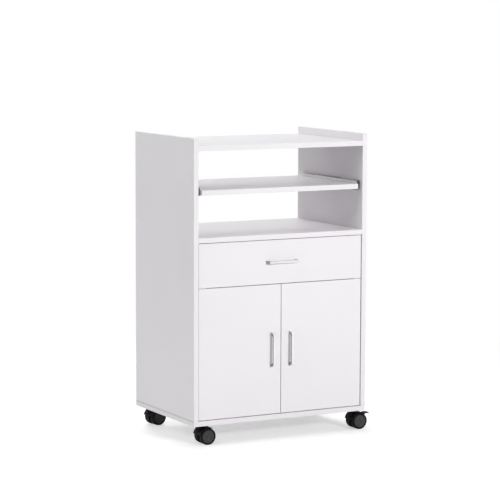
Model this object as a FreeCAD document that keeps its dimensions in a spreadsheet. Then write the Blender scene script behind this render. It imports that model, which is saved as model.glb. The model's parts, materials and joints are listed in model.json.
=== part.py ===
"""Microwave stand with drawer: a melamine kitchen cart made of separate pieces. Sizes are in millimetres.

The frame has X to the right, Y to the back and Z up. Its origin is on the floor, in the middle of the box
that the whole stand fills, handles and brake levers included. Places are given from the left side, the front
plane and the floor, and put() carries them into that frame.
"""

import FreeCAD, Part
import Sketcher
import os
import re

# Every size that can be set by itself. The sheet Dims holds them.
SIZES = {
    # carcass
    "body_width": 590,
    "body_depth": 400,
    "body_height": 854,
    "board": 15,
    "lip_height": 22,
    "caster_height": 60,
    "edge_round": 0.6,
    # fronts
    "front_gap": 2,
    "front_setback": 3,
    "front_thickness": 15,
    "door_height": 393,
    "drawer_front_height": 132,
    "front_round": 0.8,
    # inside boards
    "back_thickness": 3,
    "back_inset": 8,
    "groove_depth": 6,
    "groove_play": 0.1,
    "divider_recess": 14,
    "cupboard_shelf_rise": 195,
    "cupboard_shelf_setback": 36,
    "cupboard_shelf_play": 1,
    "pin_diameter": 5,
    "pin_length": 18,
    "pin_hold": 9,
    "pin_inset": 45,
    # knock-down fittings
    "cam_diameter": 15,
    "cam_depth": 12,
    "cam_setback": 34,
    "cam_slot_length": 9,
    "cam_slot_width": 1.5,
    "cam_slot_depth": 2,
    "bolt_thread": 6,
    "bolt_hold": 9,
    "bolt_shank": 5,
    "bolt_head": 7,
    "bolt_bore": 8,
    "bolt_collar": 1.5,
    "fitting_inset": 48,
    "dowel_diameter": 8,
    "dowel_hold": 9,
    "dowel_reach": 20,
    "dowel_spacing": 32,
    # pull-out shelf
    "pull_shelf_rise": 125,
    "pull_shelf_depth": 360,
    "pull_shelf_setback": 5,
    "pull_shelf_thickness": 15,
    # ball-bearing slides
    "slide_gap": 12.7,
    "slide_height": 35,
    "slide_sheet": 1.2,
    "slide_length": 350,
    "slide_clearance": 1,
    "slide_corner": 7,
    "shelf_slide_setback": 14,
    "shelf_slide_lift": 3.5,
    "rail_flange": 9.6,
    "runner_flange": 9,
    "cage_sheet": 0.8,
    "cage_stand_off": 1.8,
    "cage_flange": 7.6,
    "cage_length": 100,
    "cage_start": 125,
    "ball_diameter": 3.2,
    "ball_play": 0.12,
    "ball_seat": 6.4,
    "ball_pitch": 24,
    # drawer box
    "drawer_board": 12,
    "drawer_length": 350,
    "drawer_side_height": 92,
    "drawer_lift": 10,
    "drawer_bottom_thickness": 3,
    "drawer_bottom_lift": 10,
    "drawer_groove": 5,
    # handles
    "handle_length": 106,
    "handle_width": 8,
    "handle_reach": 18,
    "handle_bar": 6,
    "handle_leg": 9,
    "handle_slope": 4,
    "handle_corner": 6,
    "handle_edge": 1.4,
    "handle_screw_spacing": 96,
    "handle_from_edge": 30.5,
    "handle_screw": 4,
    "handle_screw_bite": 9,
    "screw_head": 8,
    "screw_head_height": 2.4,
    "screw_slot": 1,
    # door pivots and catch
    "pivot_from_edge": 18.5,
    "pivot_pin": 5,
    "pivot_hold": 10,
    "pivot_play": 0.1,
    "pivot_collar": 10,
    "pivot_clearance": 0.4,
    "bushing_diameter": 8,
    "bushing_length": 11,
    "bushing_end": 1,
    "bracket_sheet": 1.2,
    "bracket_width": 27,
    "bracket_drop": 30,
    "bracket_depth": 24,
    "bracket_edge": 2,
    "bracket_play": 0.5,
    "catch_width": 50,
    "catch_height": 14,
    "catch_depth": 34,
    "catch_play": 0.4,
    "strike_thickness": 1.2,
    "strike_width": 16,
    "strike_height": 22,
    "strike_from_edge": 14,
    # casters
    "caster_inset": 32,
    "caster_trail": 21,
    "wheel_diameter": 50,
    "wheel_width": 17,
    "wheel_edge": 4,
    "wheel_dish": 1.4,
    "wheel_rim": 3.4,
    "fork_web": 11,
    "fork_nose": 17.5,
    "fork_foot": 8,
    "wheel_side_play": 0.5,
    "axle_diameter": 6,
    "axle_play": 0.1,
    "axle_cover": 3,
    "hood_play": 1.4,
    "hood_thickness": 2.2,
    "hood_skirt": 5.5,
    "hood_brow": 14,
    "boss_diameter": 20,
    "boss_height": 22,
    "plate_size": 42,
    "plate_thickness": 2.5,
    "plate_corner": 6,
    "plate_hole_spacing": 31,
    "kingpin_diameter": 8,
    "kingpin_length": 22,
    "kingpin_play": 0.1,
    "swivel_play": 0.3,
    "rear_left_turn": 8,
    "caster_screw": 3.5,
    "caster_screw_length": 14,
    "caster_screw_head": 7,
    # brake levers, from the axle
    "lever_reach": 39,
    "lever_width": 20,
    "lever_heel": 3,
    "lever_neck": 3,
    "pedal_root": 22.2,
    "pedal_knee": 26.5,
    "pedal_top": 23.4,
    "pedal_thickness": 3,
    "pedal_slant": 4,
    "pedal_tip": 1,
    "lever_arm": 5,
    "lever_eye": 4,
    "lever_pin": 3,
    "lever_pin_play": 0.1,
    "lever_pin_inset": 0.5,
    "lever_side_play": 0.2,
    "lever_pivot_out": 12.5,
    "lever_pivot_up": 14.5,
    "lever_slot_floor": 9,
}

# Formulas worked out from the sizes. The sheet Places holds them.
PLACES = {
    "lever_overhang": "caster_trail + lever_reach - caster_inset",
    "left": "-(body_width + lever_overhang) / 2",
    "front": "(handle_reach - front_setback - body_depth) / 2",
    "front_back": "front_setback + front_thickness",
    "pivot_line": "front_setback + front_thickness / 2",
    "inner_width": "body_width - 2 * board",
    "inner_right": "body_width - board",
    "floor_top": "caster_height + board",
    "panel_height": "body_height - board",
    "top_under": "caster_height + body_height - lip_height - board",
    "doors_base": "floor_top + front_gap",
    "drawer_base": "doors_base + door_height + front_gap",
    "niche_under": "drawer_base + drawer_front_height + front_gap",
    "niche_top": "niche_under + board",
    "divider_base": "drawer_base - (front_gap + board) / 2",
    "divider_top": "divider_base + board",
    "divider_front": "front_back + divider_recess",
    "back_front": "body_depth - back_inset - back_thickness",
    "divider_depth": "back_front - divider_front",
    "door_width": "(inner_width - 3 * front_gap) / 2",
    "shelf_base": "niche_top + pull_shelf_rise",
    "drawer_box_base": "divider_top + drawer_lift",
    "drawer_box_width": "inner_width - 2 * slide_gap",
    "runner_height": "slide_height - 2 * slide_sheet - 2 * ball_diameter - 4 * ball_play",
    "ball_row": "runner_height / 2 + ball_play + ball_diameter / 2",
    "cage_height": "2 * ball_row + cage_sheet",
    "wheel_radius": "wheel_diameter / 2",
    "hood_inside": "wheel_radius + hood_play",
    "hood_outside": "hood_inside + hood_thickness",
    "axle_drop": "caster_height - wheel_radius",
    "twin_width": "fork_web + 2 * wheel_side_play + 2 * wheel_width",
    "wheel_room": "(twin_width - fork_web) / 2",
    "pedal_under": "pedal_top - pedal_thickness",
}

doc = FreeCAD.newDocument("MicrowaveStand")
REFERENCES = {}
PARTS = []


def fill_sheet(title, cells, prefix=""):
    """Make a sheet with one cell and alias for each entry."""
    sheet = doc.addObject("Spreadsheet::Sheet", title)
    for row, (name, content) in enumerate(cells.items(), 1):
        sheet.set(f"A{row}", prefix + bound(str(content)))
        sheet.setAlias(f"A{row}", name)
        REFERENCES[name] = f"{title}.{name}"
    return sheet


def bound(formula):
    """Write a formula's plain names as references to the sheets that hold them."""
    return re.sub(r"\b[a-z][a-z_]*\b", lambda word: REFERENCES.get(word[0], word[0]), formula)


dims = fill_sheet("Dims", SIZES)
places = fill_sheet("Places", PLACES, "=")
doc.recompute()


def value(formula):
    """Work a formula out to a number."""
    return float(dims.evalExpression(bound(str(formula))))


def bind(obj, prop, formula):
    """Bind a property to a formula."""
    obj.setExpression(prop, bound(str(formula)))


def put(obj, x, y, z):
    """Place an object by formulas from the left side, the front plane and the floor."""
    bind(obj, "Placement.Base.x", f"left + {x}")
    bind(obj, "Placement.Base.y", f"front + {y}")
    bind(obj, "Placement.Base.z", z)


def spot(x, y, z):
    """The same place as put() gives, as a vector."""
    return FreeCAD.Vector(value(f"left + {x}"), value(f"front + {y}"), value(z))


def new_body(name, x, y, z, handed_in=True):
    """A PartDesign body at a place, kept for export unless it is only a part of a group."""
    body = doc.addObject("PartDesign::Body", name)
    body.Label = name if handed_in else name + "_body"
    put(body, x, y, z)
    if handed_in:
        PARTS.append(body)
    return body


def plane(body, role):
    return next(item for item in body.Origin.OriginFeatures if item.Role == role)


def new_sketch(body, name, role, offset="0"):
    """A sketch on one of the body's own planes, moved along the plane's normal."""
    sketch = body.newObject("Sketcher::SketchObject", name)
    sketch.AttachmentSupport = [(plane(body, role), "")]
    sketch.MapMode = "FlatFace"
    bind(sketch, "AttachmentOffset.Base.z", offset)
    return sketch


def constrain(sketch, kind, *where, size):
    """Add a dimension and bind it to a formula."""
    index = sketch.addConstraint(Sketcher.Constraint(kind, *where, value(size)))
    bind(sketch, f"Constraints[{index}]", size)


def outline(sketch, corners):
    """A closed outline of straight lines through corners given as pairs of formulas."""
    points = [FreeCAD.Vector(value(u), value(v), 0) for u, v in corners]
    count = len(points)
    first = sketch.GeometryCount
    for index in range(count):
        line = Part.LineSegment(points[index], points[(index + 1) % count])
        sketch.addGeometry(line, False)
    for index, (u, v) in enumerate(corners):
        following = first + (index + 1) % count
        sketch.addConstraint(Sketcher.Constraint("Coincident", first + index, 2, following, 1))
        constrain(sketch, "DistanceX", -1, 1, first + index, 1, size=u)
        constrain(sketch, "DistanceY", -1, 1, first + index, 1, size=v)


def circle(sketch, u, v, diameter):
    """A circle whose centre and diameter are formulas."""
    middle = FreeCAD.Vector(value(u), value(v), 0)
    ring = Part.Circle(middle, FreeCAD.Vector(0, 0, 1), value(diameter) / 2)
    index = sketch.addGeometry(ring, False)
    constrain(sketch, "Diameter", index, size=diameter)
    constrain(sketch, "DistanceX", -1, 1, index, 3, size=u)
    constrain(sketch, "DistanceY", -1, 1, index, 3, size=v)


def pad(body, name, sketch, length, backwards=False, midplane=False):
    feature = body.newObject("PartDesign::Pad", name)
    feature.Profile = sketch
    bind(feature, "Length", length)
    feature.Reversed = backwards
    feature.Midplane = midplane
    return feature


def pocket(body, name, sketch, depth, backwards=False, midplane=False):
    feature = body.newObject("PartDesign::Pocket", name)
    feature.Profile = sketch
    bind(feature, "Length", depth)
    feature.Reversed = backwards
    feature.Midplane = midplane
    return feature


def mirror(body, name, originals, role):
    """Mirror features across one of the body's planes."""
    feature = body.newObject("PartDesign::Mirrored", name)
    feature.Originals = originals
    feature.MirrorPlane = (plane(body, role), [""])
    body.Tip = feature
    return feature


def round_edges(body, name, base, radius, wanted=None):
    """Fillet the edges that the test accepts, or all of them."""
    doc.recompute()
    edges = [
        f"Edge{index}"
        for index, edge in enumerate(base.Shape.Edges, 1)
        if wanted is None or wanted(edge)
    ]
    feature = body.newObject("PartDesign::Fillet", name)
    feature.Base = (base, edges)
    bind(feature, "Radius", radius)
    body.Tip = feature
    return feature


def along(axis):
    """A test for straight edges that run along an axis."""
    return lambda edge: edge.Curve.TypeId == "Part::GeomLine" and abs(edge.Curve.Direction.dot(axis)) > 0.999


X_AXIS = FreeCAD.Vector(1, 0, 0)
Y_AXIS = FreeCAD.Vector(0, 1, 0)
Z_AXIS = FreeCAD.Vector(0, 0, 1)


def board_body(name, at, size, edge="edge_round"):
    """A rectangular board with softened edges, its corner at a place."""
    body = new_body(name, *at)
    blank = body.newObject("PartDesign::AdditiveBox", name + "_blank")
    bind(blank, "Length", size[0])
    bind(blank, "Width", size[1])
    bind(blank, "Height", size[2])
    round_edges(body, name + "_edges", blank, edge)
    return body


def drill(body, name, role, offset, centres, diameter, depth, backwards=False):
    """Bores of one diameter and depth, drilled from a plane of the body."""
    sketch = new_sketch(body, name + "_centres", role, offset)
    for u, v in centres:
        circle(sketch, u, v, diameter)
    return pocket(body, name, sketch, depth, backwards)


def primitive(body, kind, name, sizes, at, turn=None):
    """Add or cut a box or cylinder whose sizes and corner or centre are formulas."""
    feature = body.newObject("PartDesign::" + kind, name)
    feature.Placement = FreeCAD.Placement(FreeCAD.Vector(), turn or FreeCAD.Rotation())
    for prop, formula in sizes.items():
        bind(feature, prop, formula)
    for letter, formula in zip("xyz", at):
        bind(feature, f"Placement.Base.{letter}", formula)
    return feature


def slot(body, name, corner, size):
    """A rectangular groove cut at a place in the body."""
    return primitive(body, "SubtractiveBox", name, dict(zip(("Length", "Width", "Height"), size)), corner)


def group(name, shapes):
    """Several equal pieces that share one node."""
    feature = doc.addObject("Part::Feature", name)
    feature.Label = name
    feature.Shape = Part.makeCompound(shapes)
    PARTS.append(feature)
    return feature


# ---------------------------------------------------------------- carcass boards

# Boards that lie between the sides: their base, front and depth.
CROSS_BOARDS = {
    "top_board": ("top_under", "0", "body_depth"),
    "niche_floor": ("niche_under", "0", "body_depth"),
    "drawer_divider": ("divider_base", "divider_front", "divider_depth"),
}


def fitting_rows(start, depth):
    """Where the cam bolts and the dowels stand along a joint, from front to back."""
    bolts = [f"{start} + fitting_inset", f"{start} + {depth} - fitting_inset"]
    dowels = [
        f"{start} + fitting_inset + dowel_spacing",
        f"{start} + {depth} - fitting_inset - dowel_spacing",
    ]
    return bolts, dowels


def cross_board(name, base, start, depth):
    """A board held between the sides by two cams and two dowels at each end."""
    body = board_body(name, ("board", start, base), ("inner_width", depth, "board"))
    bolts, dowels = fitting_rows("0", depth)
    cams = [(x, y) for x in ("cam_setback", "inner_width - cam_setback") for y in bolts]
    drill(body, name + "_cam_bores", "XY_Plane", "0", cams, "cam_diameter", "cam_depth", True)
    for end, offset, backwards in (("left", "0", True), ("right", "inner_width", False)):
        holes = [(y, "board / 2") for y in bolts]
        depth_in = "cam_setback + bolt_bore"
        drill(body, f"{name}_bolts_{end}", "YZ_Plane", offset, holes, "bolt_bore", depth_in, backwards)
        holes = [(y, "board / 2") for y in dowels]
        drill(body, f"{name}_dowels_{end}", "YZ_Plane", offset, holes, "dowel_diameter", "dowel_reach", backwards)
    return body


def side_panel(name, x, inner_face, inward):
    """A side that stands on the bottom board. Its inner face takes bolts, dowels, shelf pins and the back."""
    body = board_body(name, (x, "0", "floor_top"), ("board", "body_depth", "panel_height"))
    backwards = inward > 0
    bolt_holes = []
    dowel_holes = []
    for base, start, depth in CROSS_BOARDS.values():
        bolts, dowels = fitting_rows(start, depth)
        level = f"{base} + board / 2 - floor_top"
        bolt_holes += [(y, level) for y in bolts]
        dowel_holes += [(y, level) for y in dowels]
    drill(body, name + "_bolt_holes", "YZ_Plane", inner_face, bolt_holes, "bolt_thread", "bolt_hold", backwards)
    drill(body, name + "_dowel_holes", "YZ_Plane", inner_face, dowel_holes, "dowel_diameter", "dowel_hold", backwards)
    pins = [(y, "cupboard_shelf_rise - pin_diameter / 2") for y in PIN_ROWS]
    drill(body, name + "_pin_holes", "YZ_Plane", inner_face, pins, "pin_diameter", "pin_hold", backwards)
    bolts, dowels = fitting_rows("0", "body_depth")
    cams = [(y, "cam_setback") for y in bolts]
    drill(body, name + "_cam_bores", "YZ_Plane", inner_face, cams, "cam_diameter", "cam_depth", backwards)
    ends = [("board / 2", y) for y in bolts]
    drill(body, name + "_bolt_bores", "XY_Plane", "0", ends, "bolt_bore", "cam_setback + bolt_bore", True)
    ends = [("board / 2", y) for y in dowels]
    drill(body, name + "_dowel_bores", "XY_Plane", "0", ends, "dowel_diameter", "dowel_reach", True)
    start = "board - groove_depth" if inward < 0 else "0"
    slot(
        body,
        name + "_back_groove",
        (start, "back_front - groove_play", "-groove_play"),
        (
            "groove_depth",
            "back_thickness + 2 * groove_play",
            "niche_under - floor_top + groove_depth + groove_play",
        ),
    )
    return body


PIN_ROWS = (
    "cupboard_shelf_setback + pin_inset",
    "back_front - pin_inset",
)


def bottom_board():
    """The full-width board under the sides, with the holes for their bolts, dowels and the casters."""
    name = "bottom_board"
    body = board_body(name, ("0", "0", "caster_height"), ("body_width", "body_depth", "board"))
    bolts, dowels = fitting_rows("0", "body_depth")
    ends = ("board / 2", "body_width - board / 2")
    holes = [(x, y) for x in ends for y in bolts]
    drill(body, name + "_bolt_holes", "XY_Plane", "board", holes, "bolt_thread", "bolt_hold")
    holes = [(x, y) for x in ends for y in dowels]
    drill(body, name + "_dowel_holes", "XY_Plane", "board", holes, "dowel_diameter", "dowel_hold")
    holes = [
        (f"{x} + {dx} * plate_hole_spacing / 2", f"{y} + {dy} * plate_hole_spacing / 2")
        for x, y in CASTER_SPOTS.values()
        for dx in (-1, 1)
        for dy in (-1, 1)
    ]
    depth = "caster_screw_length - plate_thickness"
    drill(body, name + "_caster_holes", "XY_Plane", "0", holes, "caster_screw", depth, True)
    from_wall = "(board + front_gap + pivot_from_edge)"
    holes = [(x, "pivot_line") for x in (from_wall, f"body_width - {from_wall}")]
    drill(body, name + "_pivot_holes", "XY_Plane", "board", holes, "pivot_pin", "pivot_hold")
    slot(
        body,
        name + "_back_groove",
        ("board - groove_depth", "back_front - groove_play", "board - groove_depth"),
        ("inner_width + 2 * groove_depth", "back_thickness + 2 * groove_play", "groove_depth"),
    )
    return body


CASTER_SPOTS = {
    "front_left": ("caster_inset", "caster_inset"),
    "front_right": ("body_width - caster_inset", "caster_inset"),
    "rear_left": ("caster_inset", "body_depth - caster_inset"),
    "rear_right": ("body_width - caster_inset", "body_depth - caster_inset"),
}


def carcass():
    side_panel("side_panel_left", "0", "board", -1)
    side_panel("side_panel_right", "inner_right", "0", 1)
    for name, (base, start, depth) in CROSS_BOARDS.items():
        body = cross_board(name, base, start, depth)
        if name == "niche_floor":
            slot(
                body,
                name + "_back_groove",
                ("0", "back_front - groove_play", "0"),
                ("inner_width", "back_thickness + 2 * groove_play", "groove_depth"),
            )
    bottom_board()
    board_body(
        "back_panel",
        (
            "board - groove_depth + groove_play",
            "back_front",
            "floor_top - groove_depth + groove_play",
        ),
        (
            "inner_width + 2 * (groove_depth - groove_play)",
            "back_thickness",
            "niche_under - floor_top + 2 * (groove_depth - groove_play)",
        ),
        "groove_play",
    )
    board_body(
        "cupboard_shelf",
        (
            "board + cupboard_shelf_play",
            "cupboard_shelf_setback",
            "floor_top + cupboard_shelf_rise",
        ),
        (
            "inner_width - 2 * cupboard_shelf_play",
            "back_front - cupboard_shelf_setback - cupboard_shelf_play",
            "board",
        ),
    )
    pins = []
    for x, direction in (("board", X_AXIS), ("inner_right", -X_AXIS)):
        for y in PIN_ROWS:
            pin = Part.makeCylinder(value("pin_diameter / 2"), value("pin_length"))
            pin.translate(FreeCAD.Vector(0, 0, -value("pin_hold")))
            turned = FreeCAD.Rotation(Z_AXIS, direction)
            level = "floor_top + cupboard_shelf_rise - pin_diameter / 2"
            pin.Placement = FreeCAD.Placement(spot(x, y, level), turned) * pin.Placement
            pins.append(pin)
    group("shelf_pins", pins)


# ---------------------------------------------------------------- cams, bolts and dowels

def cam_lock():
    """A cam at its bore: the bolt comes in along X, and the slotted face looks down."""
    radius = value("cam_diameter / 2")
    drum = Part.makeCylinder(radius, value("cam_depth"))
    drum.translate(FreeCAD.Vector(value("cam_setback"), 0, -value("board / 2")))
    mouth = Part.makeCylinder(
        value("bolt_bore / 2"), value("cam_setback + bolt_head"), FreeCAD.Vector(0, 0, 0), X_AXIS
    )
    drum = drum.cut(mouth)
    for turn in (0, 90):
        long, wide = value("cam_slot_length"), value("cam_slot_width")
        arm = Part.makeBox(long, wide, value("cam_slot_depth"))
        arm.translate(FreeCAD.Vector(-long / 2, -wide / 2, 0))
        arm.rotate(FreeCAD.Vector(0, 0, 0), Z_AXIS, turn)
        arm.translate(FreeCAD.Vector(value("cam_setback"), 0, -value("board / 2")))
        drum = drum.cut(arm)
    return drum


def cam_bolt():
    """A bolt screwed into one board, its head caught by the cam in the other."""
    thread = value("bolt_thread / 2")
    shank = value("bolt_shank / 2")
    head = value("bolt_head / 2")
    end = value("cam_setback + bolt_head / 2")
    neck = value("cam_setback - bolt_head / 2")
    start = -value("bolt_hold")
    collar = value("bolt_collar")
    profile = [
        (start, 0),
        (start, thread),
        (0, thread),
        (0, head),
        (collar, head),
        (collar, shank),
        (neck, shank),
        (neck + collar, head),
        (end, head),
        (end, 0),
    ]
    points = [FreeCAD.Vector(x, 0, radius) for x, radius in profile]
    face = Part.Face(Part.makePolygon(points + points[:1]))
    return face.revolve(FreeCAD.Vector(0, 0, 0), X_AXIS, 360)


def dowel():
    """A wooden dowel, its ends softened."""
    length = value("dowel_hold + dowel_reach")
    pin = Part.makeCylinder(value("dowel_diameter / 2"), length, FreeCAD.Vector(0, 0, 0), X_AXIS)
    pin = pin.makeChamfer(value("dowel_diameter / 8"), [e for e in pin.Edges if e.Closed])
    pin.translate(FreeCAD.Vector(-value("dowel_hold"), 0, 0))
    return pin


def knock_down_fittings():
    """Place a cam with its bolt, and a dowel, at every joint of the boards."""
    frames = []
    for base, start, depth in CROSS_BOARDS.values():
        for x, turn in (("board", 0), ("inner_right", 180)):
            frames.append((x, f"{base} + board / 2", start, depth, FreeCAD.Rotation(Z_AXIS, turn)))
    stand = FreeCAD.Rotation(Y_AXIS, -90)
    frames.append(("board / 2", "floor_top", "0", "body_depth", stand))
    turned = FreeCAD.Rotation(Z_AXIS, 180) * stand
    frames.append(("body_width - board / 2", "floor_top", "0", "body_depth", turned))
    cams, bolts, dowels = [], [], []
    for x, z, start, depth, turn in frames:
        bolt_rows, dowel_rows = fitting_rows(start, depth)
        for row in bolt_rows:
            place = FreeCAD.Placement(spot(x, row, z), turn)
            for pile, piece in ((cams, cam_lock()), (bolts, cam_bolt())):
                piece.Placement = place * piece.Placement
                pile.append(piece)
        for row in dowel_rows:
            piece = dowel()
            piece.Placement = FreeCAD.Placement(spot(x, row, z), turn) * piece.Placement
            dowels.append(piece)
    group("cam_locks", cams)
    group("cam_bolts", bolts)
    group("dowels", dowels)


# ---------------------------------------------------------------- ball-bearing slides

def channel(body, name, depth_out, depth_in, height, sheet, length, start="0"):
    """A C-shaped strip on the right: its web stands at depth_out and its flanges end at depth_in."""
    inside = f"({depth_out} + {sheet})" if value(depth_in) > value(depth_out) else f"({depth_out} - {sheet})"
    half = f"{height} / 2"
    corners = [
        (depth_out, f"-{half}"),
        (depth_out, half),
        (depth_in, half),
        (depth_in, f"{half} - {sheet}"),
        (inside, f"{half} - {sheet}"),
        (inside, f"-({half} - {sheet})"),
        (depth_in, f"-({half} - {sheet})"),
        (depth_in, f"-{half}"),
    ]
    sketch = new_sketch(body, name + "_section", "XZ_Plane", f"-({start})")
    outline(sketch, [(f"inner_width / 2 - {u}", v) for u, v in corners])
    return pad(body, name + "_strip", sketch, length, backwards=True)


def round_corner(sketch, u, v, radius, up):
    """What rounding takes off a strip's front corner at u, v: two straight sides and an arc."""
    side = f"({v} - {up} * {radius})"
    corner, along_top, down = [
        FreeCAD.Vector(value(a), value(b), 0) for a, b in ((u, v), (f"{u} + {radius}", v), (u, side))
    ]
    first = sketch.GeometryCount
    sketch.addGeometry(Part.LineSegment(corner, along_top), False)
    sketch.addGeometry(Part.LineSegment(down, corner), False)
    ring = Part.Circle(FreeCAD.Vector(along_top.x, down.y, 0), Z_AXIS, value(radius))
    turns = (ring.parameter(along_top), ring.parameter(down))
    sketch.addGeometry(Part.ArcOfCircle(ring, min(turns), max(turns)), False)
    ends = (1, 2) if turns[0] < turns[1] else (2, 1)
    sketch.addConstraint(Sketcher.Constraint("Coincident", first, 1, first + 1, 2))
    sketch.addConstraint(Sketcher.Constraint("Coincident", first, 2, first + 2, ends[0]))
    sketch.addConstraint(Sketcher.Constraint("Coincident", first + 1, 1, first + 2, ends[1]))
    for line, end, a, b in ((first, 1, u, v), (first, 2, f"{u} + {radius}", v), (first + 1, 1, u, side)):
        constrain(sketch, "DistanceX", -1, 1, line, end, size=a)
        constrain(sketch, "DistanceY", -1, 1, line, end, size=b)
    constrain(sketch, "Radius", first + 2, size=radius)


def round_front(body, name, height):
    """Round the upper and lower front corners of a strip, seen from the side."""
    sketch = new_sketch(body, name + "_corners", "YZ_Plane")
    for up in (1, -1):
        round_corner(sketch, "0", f"{up} * {height} / 2", "slide_corner", up)
    return pocket(body, name + "_front", sketch, "body_width", midplane=True)


def slide_set(name, y, z):
    """A pair of slides: rails on the sides, runners on the drawer or shelf, ball cages between."""
    middle = "body_width / 2"
    rails = new_body(name + "_slide_rails", middle, y, z)
    strip = channel(rails, name + "_rail", "0", "rail_flange", "slide_height", "slide_sheet", "slide_length")
    corners = round_front(rails, name + "_rail", "slide_height")
    mirror(rails, name + "_rails_both", [strip, corners], "YZ_Plane")

    runners = new_body(name + "_slide_runners", middle, y, z)
    inner_edge = "(slide_gap - runner_flange)"
    strip = channel(
        runners, name + "_runner", "slide_gap", inner_edge, "runner_height", "slide_sheet", "slide_length"
    )
    corners = round_front(runners, name + "_runner", "runner_height")
    mirror(runners, name + "_runners_both", [strip, corners], "YZ_Plane")

    cages = new_body(name + "_cages", middle, y, z, handed_in=False)
    reach = "(cage_stand_off + cage_flange)"
    strip = channel(
        cages, name + "_cage", "cage_stand_off", reach, "cage_height", "cage_sheet", "cage_length", "cage_start"
    )
    rows = [f"cage_start + cage_length / 2 + {step} * ball_pitch" for step in BALL_STEPS]
    sketch = new_sketch(cages, name + "_ball_centres", "XY_Plane")
    for row in rows:
        circle(sketch, "inner_width / 2 - ball_seat", row, "ball_diameter + 2 * ball_play")
    holes = pocket(cages, name + "_ball_holes", sketch, "slide_height", midplane=True)
    mirror(cages, name + "_cages_both", [strip, holes], "YZ_Plane")

    balls = []
    for side in (-1, 1):
        for row in rows:
            for level in (-1, 1):
                ball = Part.makeSphere(value("ball_diameter / 2"))
                across = f"{middle} + {side} * (inner_width / 2 - ball_seat)"
                ball.translate(spot(across, f"{y} + {row}", f"{z} + {level} * ball_row"))
                balls.append(ball)
    loose = doc.addObject("Part::Feature", name + "_balls")
    loose.Shape = Part.makeCompound(balls)
    both = doc.addObject("Part::Compound", name + "_ball_cages")
    both.Label = name + "_ball_cages"
    both.Links = [cages, loose]
    PARTS.append(both)


BALL_STEPS = (-1.5, -0.5, 0.5, 1.5)


# ---------------------------------------------------------------- pull-out shelf and drawer

def pull_out_shelf():
    board_body(
        "pull_shelf",
        ("board + slide_gap", "pull_shelf_setback", "shelf_base"),
        ("inner_width - 2 * slide_gap", "pull_shelf_depth", "pull_shelf_thickness"),
    )
    slide_set("shelf", "shelf_slide_setback", "(shelf_base + pull_shelf_thickness / 2 + shelf_slide_lift)")


def drawer_side(name, x, groove_at):
    """A long side of the drawer box, grooved for the bottom."""
    body = board_body(
        name,
        (x, "front_back", "drawer_box_base"),
        ("drawer_board", "drawer_length", "drawer_side_height"),
    )
    slot(
        body,
        name + "_groove",
        (groove_at, "0", "drawer_bottom_lift - groove_play"),
        ("drawer_groove", "drawer_length", "drawer_bottom_thickness + 2 * groove_play"),
    )


def drawer():
    name = "drawer_front"
    body = board_body(
        name,
        ("board + front_gap", "front_setback", "drawer_base"),
        ("inner_width - 2 * front_gap", "front_thickness", "drawer_front_height"),
        "front_round",
    )
    slot(
        body,
        name + "_groove",
        (
            "slide_gap - front_gap + drawer_board - drawer_groove",
            "front_thickness - drawer_groove",
            "drawer_box_base + drawer_bottom_lift - drawer_base - groove_play",
        ),
        (
            "drawer_box_width - 2 * (drawer_board - drawer_groove)",
            "drawer_groove",
            "drawer_bottom_thickness + 2 * groove_play",
        ),
    )
    middle = "(inner_width / 2 - front_gap)"
    holes = [
        (f"{middle} + {side} * handle_screw_spacing / 2", "drawer_front_height / 2") for side in (-1, 1)
    ]
    drill(body, name + "_screw_holes", "XZ_Plane", "0", holes, "handle_screw", "front_thickness", False)
    drawer_side("drawer_side_left", "board + slide_gap", "drawer_board - drawer_groove")
    drawer_side("drawer_side_right", "inner_right - slide_gap - drawer_board", "0")
    board_body(
        "drawer_back",
        (
            "board + slide_gap + drawer_board",
            "front_back + drawer_length - drawer_board",
            "drawer_box_base + drawer_bottom_lift + drawer_bottom_thickness",
        ),
        (
            "drawer_box_width - 2 * drawer_board",
            "drawer_board",
            "drawer_side_height - drawer_bottom_lift - drawer_bottom_thickness",
        ),
    )
    board_body(
        "drawer_bottom",
        (
            "board + slide_gap + drawer_board - drawer_groove + groove_play",
            "front_back - drawer_groove + groove_play",
            "drawer_box_base + drawer_bottom_lift",
        ),
        (
            "drawer_box_width - 2 * (drawer_board - drawer_groove + groove_play)",
            "drawer_length + drawer_groove - groove_play",
            "drawer_bottom_thickness",
        ),
        "groove_play",
    )
    slide_set("drawer", "(front_back + slide_clearance)", "(drawer_box_base + drawer_side_height / 2)")
    level = "(drawer_base + drawer_front_height / 2)"
    handle("drawer_handle", "body_width / 2", level, upright=False)
    handle_screws("drawer_handle_screws", "body_width / 2", level, upright=False)


# ---------------------------------------------------------------- handles

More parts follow.
